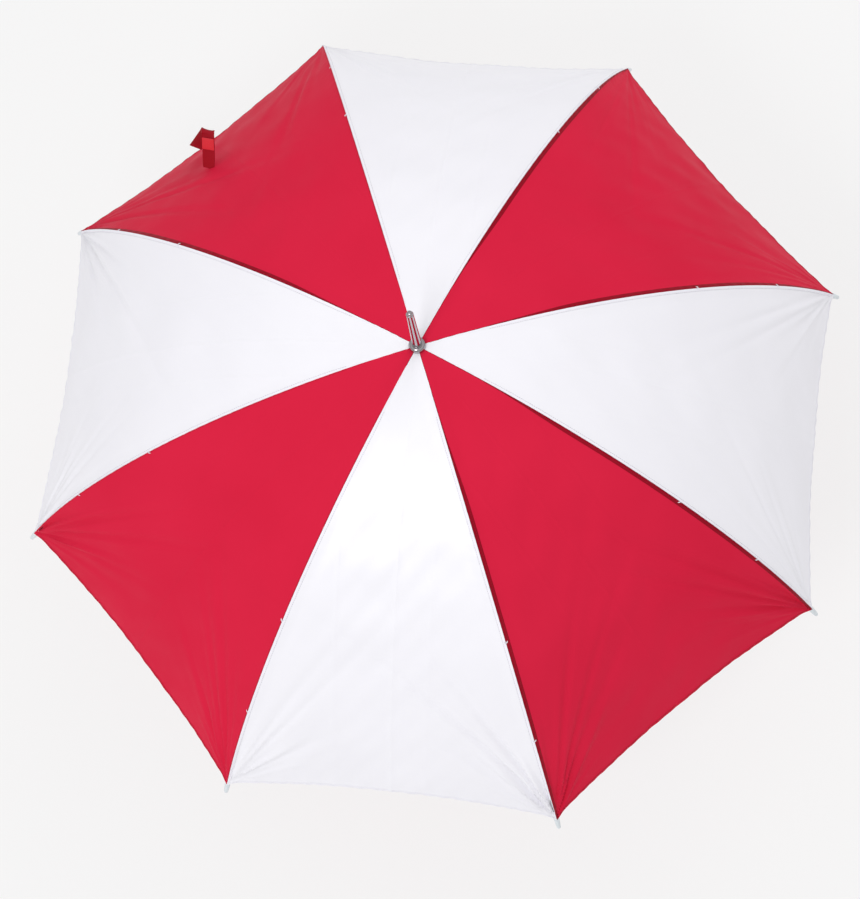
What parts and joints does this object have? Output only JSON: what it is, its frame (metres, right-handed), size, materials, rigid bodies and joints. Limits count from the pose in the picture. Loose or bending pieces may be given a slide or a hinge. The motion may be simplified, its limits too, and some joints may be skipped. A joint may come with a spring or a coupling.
{
  "type": "golf umbrella",
  "caption": "Large stick golf umbrella, shown open: red and white sewn canopy on hinged steel ribs, sliding runner, metal ferrule and straight wooden grip.",
  "frame": {"origin": "middle of the handle's flat lower end", "axes": "+Z along the shaft towards the ferrule; +X along rib 1, with the ribs numbered anticlockwise from above"},
  "size_m": [1.2658, 1.2658, 1.0348],
  "materials": {
    "white_cloth": "satin woven polyester",
    "red_cloth": "satin woven polyester",
    "red_tape": "brushed hook tape",
    "steel": "black enamelled spring steel",
    "chrome": "polished",
    "tip_plastic": "milky, slightly translucent",
    "black_plastic": "moulded",
    "wood": "varnished beech"
  },
  "bodies": {
    "shaft": {"shaft_tube": "chrome", "ferrule": "chrome", "open_cap": "chrome", "canopy_rosette": "white_cloth", "top_notch": "black_plastic", "notch_wire": "steel", "notch_pin": "steel", "stop_pin": "chrome", "handle_grip": "wood", "handle_collar": "chrome", "handle_end_cap": "chrome"},
    "rib_1": {"rib_1": "steel", "rib_tip_1": "tip_plastic", "rivet_1": "steel", "canopy_panel_1": "white_cloth"},
    "stretcher_1": {"stretcher_1": "steel"},
    "rib_2": {"rib_2": "steel", "rib_tip_2": "tip_plastic", "rivet_2": "steel", "canopy_panel_2": "red_cloth"},
    "stretcher_2": {"stretcher_2": "steel"},
    "rib_3": {"rib_3": "steel", "rib_tip_3": "tip_plastic", "rivet_3": "steel", "canopy_panel_3": "white_cloth"},
    "stretcher_3": {"stretcher_3": "steel"},
    "rib_4": {"rib_4": "steel", "rib_tip_4": "tip_plastic", "rivet_4": "steel", "canopy_panel_4": "red_cloth", "tie_strap": "red_cloth", "strap_patch": "red_tape"},
    "stretcher_4": {"stretcher_4": "steel"},
    "rib_5": {"rib_5": "steel", "rib_tip_5": "tip_plastic", "rivet_5": "steel", "canopy_panel_5": "white_cloth"},
    "stretcher_5": {"stretcher_5": "steel"},
    "rib_6": {"rib_6": "steel", "rib_tip_6": "tip_plastic", "rivet_6": "steel", "canopy_panel_6": "red_cloth"},
    "stretcher_6": {"stretcher_6": "steel"},
    "rib_7": {"rib_7": "steel", "rib_tip_7": "tip_plastic", "rivet_7": "steel", "canopy_panel_7": "white_cloth"},
    "stretcher_7": {"stretcher_7": "steel"},
    "rib_8": {"rib_8": "steel", "rib_tip_8": "tip_plastic", "rivet_8": "steel", "canopy_panel_8": "red_cloth"},
    "stretcher_8": {"stretcher_8": "steel"},
    "runner": {"runner_sleeve": "chrome", "runner_crown": "black_plastic", "runner_wire": "steel"},
    "top_catch": {"top_catch": "chrome"},
    "bottom_catch": {"bottom_catch": "chrome"}
  },
  "joints": [
    {"name": "canopy_fold", "type": "hinge", "parent": "shaft", "child": "rib_1", "pos_m": [0.0105, 0, 0.88199], "axis": [0, 1, 0], "range_deg": [0, 58], "deforming": ["canopy_panel_1"]},
    {"name": "stretcher_hinge_1", "type": "hinge", "parent": "rib_1", "child": "stretcher_1", "pos_m": [0.36243, 0, 0.7852], "axis": [0, 1, 0], "range_deg": [-116, 0]},
    {"name": "rib_hinge_2", "type": "hinge", "parent": "shaft", "child": "rib_2", "pos_m": [0.00743, 0.00743, 0.88199], "axis": [-0.7071, 0.7071, 0], "range_deg": [0, 58], "deforming": ["canopy_panel_2"]},
    {"name": "stretcher_hinge_2", "type": "hinge", "parent": "rib_2", "child": "stretcher_2", "pos_m": [0.25628, 0.25628, 0.7852], "axis": [-0.7071, 0.7071, 0], "range_deg": [-116, 0]},
    {"name": "rib_hinge_3", "type": "hinge", "parent": "shaft", "child": "rib_3", "pos_m": [0, 0.0105, 0.88199], "axis": [-1, 0, 0], "range_deg": [0, 58], "deforming": ["canopy_panel_3"]},
    {"name": "stretcher_hinge_3", "type": "hinge", "parent": "rib_3", "child": "stretcher_3", "pos_m": [0, 0.36243, 0.7852], "axis": [-1, 0, 0], "range_deg": [-116, 0]},
    {"name": "rib_hinge_4", "type": "hinge", "parent": "shaft", "child": "rib_4", "pos_m": [-0.00743, 0.00743, 0.88199], "axis": [-0.7071, -0.7071, 0], "range_deg": [0, 58], "deforming": ["canopy_panel_4", "tie_strap", "strap_patch"]},
    {"name": "stretcher_hinge_4", "type": "hinge", "parent": "rib_4", "child": "stretcher_4", "pos_m": [-0.25628, 0.25628, 0.7852], "axis": [-0.7071, -0.7071, 0], "range_deg": [-116, 0]},
    {"name": "rib_hinge_5", "type": "hinge", "parent": "shaft", "child": "rib_5", "pos_m": [-0.0105, 0, 0.88199], "axis": [0, -1, 0], "range_deg": [0, 58], "deforming": ["canopy_panel_5"]},
    {"name": "stretcher_hinge_5", "type": "hinge", "parent": "rib_5", "child": "stretcher_5", "pos_m": [-0.36243, 0, 0.7852], "axis": [0, -1, 0], "range_deg": [-116, 0]},
    {"name": "rib_hinge_6", "type": "hinge", "parent": "shaft", "child": "rib_6", "pos_m": [-0.00743, -0.00743, 0.88199], "axis": [0.7071, -0.7071, 0], "range_deg": [0, 58], "deforming": ["canopy_panel_6"]},
    {"name": "stretcher_hinge_6", "type": "hinge", "parent": "rib_6", "child": "stretcher_6", "pos_m": [-0.25628, -0.25628, 0.7852], "axis": [0.7071, -0.7071, 0], "range_deg": [-116, 0]},
    {"name": "rib_hinge_7", "type": "hinge", "parent": "shaft", "child": "rib_7", "pos_m": [0, -0.0105, 0.88199], "axis": [1, 0, 0], "range_deg": [0, 58], "deforming": ["canopy_panel_7"]},
    {"name": "stretcher_hinge_7", "type": "hinge", "parent": "rib_7", "child": "stretcher_7", "pos_m": [0, -0.36243, 0.7852], "axis": [1, 0, 0], "range_deg": [-116, 0]},
    {"name": "rib_hinge_8", "type": "hinge", "parent": "shaft", "child": "rib_8", "pos_m": [0.00743, -0.00743, 0.88199], "axis": [0.7071, 0.7071, 0], "range_deg": [0, 58], "deforming": ["canopy_panel_8"]},
    {"name": "stretcher_hinge_8", "type": "hinge", "parent": "rib_8", "child": "stretcher_8", "pos_m": [0.25628, -0.25628, 0.7852], "axis": [0.7071, 0.7071, 0], "range_deg": [-116, 0]},
    {"name": "runner_travel", "type": "hinge", "parent": "stretcher_1", "child": "runner", "pos_m": [0.0105, 0, 0.68841], "axis": [0, 1, 0], "range_deg": [0, 58]},
    {"name": "top_catch_press", "type": "hinge", "parent": "shaft", "child": "top_catch", "pos_m": [0.00126, -0.00305, 0.63081], "axis": [-0.9239, -0.3827, 0], "range_deg": [0, 6.5], "stiffness_Nm_per_rad": 2, "springref_deg": -5.73},
    {"name": "bottom_catch_press", "type": "hinge", "parent": "shaft", "child": "bottom_catch", "pos_m": [0.00126, -0.00305, 0.1711], "axis": [0.9239, 0.3827, 0], "range_deg": [0, 6.5], "stiffness_Nm_per_rad": 2, "springref_deg": -5.73}
  ],
  "couplings": [
    {"joint": "stretcher_hinge_1", "follows": "canopy_fold", "ratio": -2},
    {"joint": "rib_hinge_2", "follows": "canopy_fold", "ratio": 1},
    {"joint": "stretcher_hinge_2", "follows": "canopy_fold", "ratio": -2},
    {"joint": "rib_hinge_3", "follows": "canopy_fold", "ratio": 1},
    {"joint": "stretcher_hinge_3", "follows": "canopy_fold", "ratio": -2},
    {"joint": "rib_hinge_4", "follows": "canopy_fold", "ratio": 1},
    {"joint": "stretcher_hinge_4", "follows": "canopy_fold", "ratio": -2},
    {"joint": "rib_hinge_5", "follows": "canopy_fold", "ratio": 1},
    {"joint": "stretcher_hinge_5", "follows": "canopy_fold", "ratio": -2},
    {"joint": "rib_hinge_6", "follows": "canopy_fold", "ratio": 1},
    {"joint": "stretcher_hinge_6", "follows": "canopy_fold", "ratio": -2},
    {"joint": "rib_hinge_7", "follows": "canopy_fold", "ratio": 1},
    {"joint": "stretcher_hinge_7", "follows": "canopy_fold", "ratio": -2},
    {"joint": "rib_hinge_8", "follows": "canopy_fold", "ratio": 1},
    {"joint": "stretcher_hinge_8", "follows": "canopy_fold", "ratio": -2},
    {"joint": "runner_travel", "follows": "canopy_fold", "ratio": 1}
  ]
}
